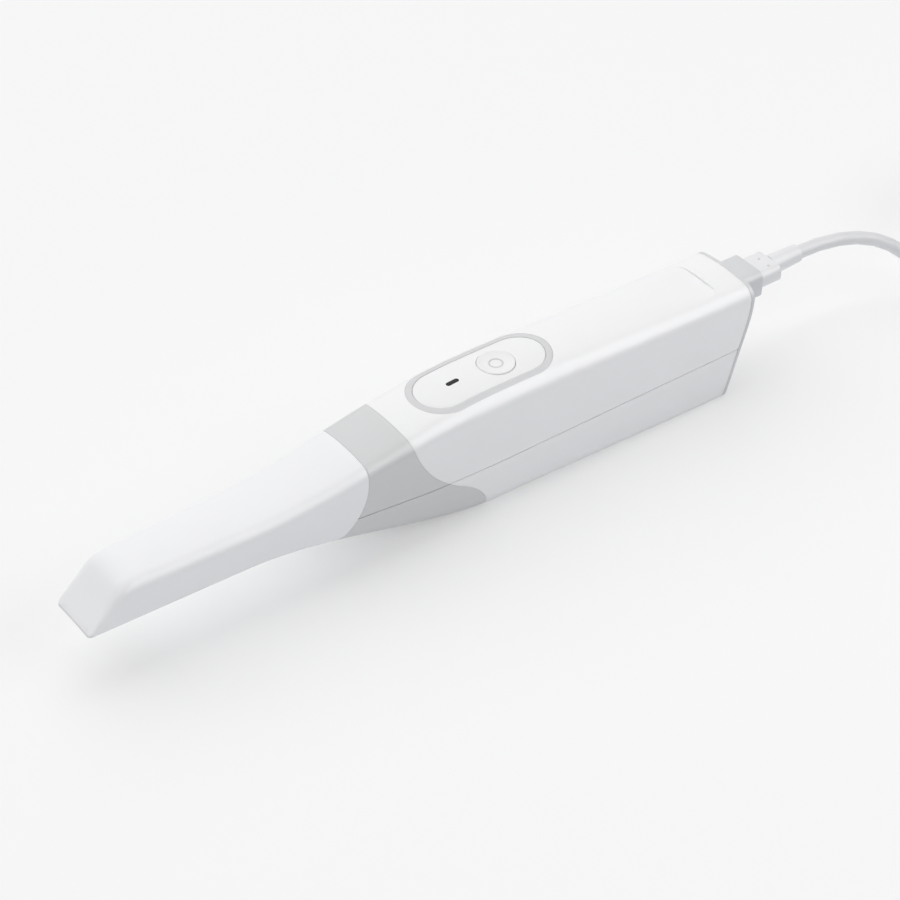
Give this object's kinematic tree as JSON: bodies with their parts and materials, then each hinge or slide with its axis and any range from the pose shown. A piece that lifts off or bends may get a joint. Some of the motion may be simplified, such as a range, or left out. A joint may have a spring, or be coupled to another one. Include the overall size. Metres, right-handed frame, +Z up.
{
  "type": "intraoral scanner",
  "caption": "Hand-held dental scanning wand with a slanted pull-off mirror tip, grey collar, two-part white shell, scan button and a plug-in lead.",
  "frame": {"origin": "middle of the wand's footprint on the surface that it lies on, without its lead", "axes": "+X along the wand towards the lead, -X towards the tip, +Y to its side, +Z up"},
  "size_m": [0.5646, 0.034, 0.0432],
  "materials": {
    "shell_white": "satin moulded white",
    "tip_white": "fine satin white, autoclave grade",
    "collar_grey": "satin light grey",
    "ring_grey": "satin light grey",
    "panel_white": "smooth white",
    "button_white": "smooth white",
    "mark_grey": "printed light grey",
    "window_black": "dark translucent",
    "rear_grey": "satin grey",
    "cord_white": "soft satin white jacket",
    "plug_white": "satin moulded white",
    "tie_black": "woven hook and loop",
    "plug_metal": "nickel plated",
    "mirror": "front-surface mirror",
    "optic_glass": "polished",
    "nose_black": "fine matt black",
    "grip_rubber": "matt",
    "chassis_metal": "bead blasted",
    "barrel_black": "black anodised",
    "board_green": "solder mask",
    "chip_black": "moulded",
    "led_white": "clear dome over phosphor",
    "screw_steel": "zinc plated"
  },
  "bodies": {
    "handle": {"collar_upper": "collar_grey", "collar_lower": "collar_grey", "upper_shell": "shell_white", "lower_shell": "shell_white", "panel_ring": "ring_grey", "panel_plate": "panel_white", "indicator_window": "window_black", "indicator_led": "led_white", "rear_cover": "rear_grey", "port_block": "rear_grey", "usb_socket": "plug_metal", "socket_tongue": "chip_black", "socket_board": "board_green", "nose_tube": "nose_black", "nose_window": "optic_glass", "grip_ring": "grip_rubber", "optics_chassis": "chassis_metal", "camera_barrel": "barrel_black", "projector_barrel": "barrel_black", "lenses": "optic_glass", "camera_board": "board_green", "projector_board": "board_green", "image_sensor": "chip_black", "projector_led": "led_white", "heat_sink": "chassis_metal", "main_board": "board_green", "processor": "chip_black", "shield_can": "plug_metal", "button_board": "board_green", "tact_switch": "chip_black", "housing_screws": "screw_steel"},
    "tip": {"tip_sleeve": "tip_white", "tip_mirror": "mirror"},
    "button": {"scan_button": "button_white", "button_mark": "mark_grey"},
    "lead": {"cable_plug": "plug_white", "plug_shell": "plug_metal", "cable": "cord_white", "cable_coil": "cord_white", "cable_tail": "cord_white", "coil_tie": "tie_black", "host_plug": "plug_white", "host_shell": "plug_metal"}
  },
  "joints": [
    {"name": "tip_pull", "type": "slide", "parent": "handle", "child": "tip", "axis": [-1, 0, 0], "range_m": [0, 0.05]},
    {"name": "button_press", "type": "slide", "parent": "handle", "child": "button", "axis": [0, 0, -1], "range_m": [0, 0.0008], "stiffness_N_per_m": 1500, "springref_m": -0.0005},
    {"name": "lead_unplug", "type": "slide", "parent": "handle", "child": "lead", "axis": [1, 0, 0], "range_m": [0, 0.01]}
  ]
}
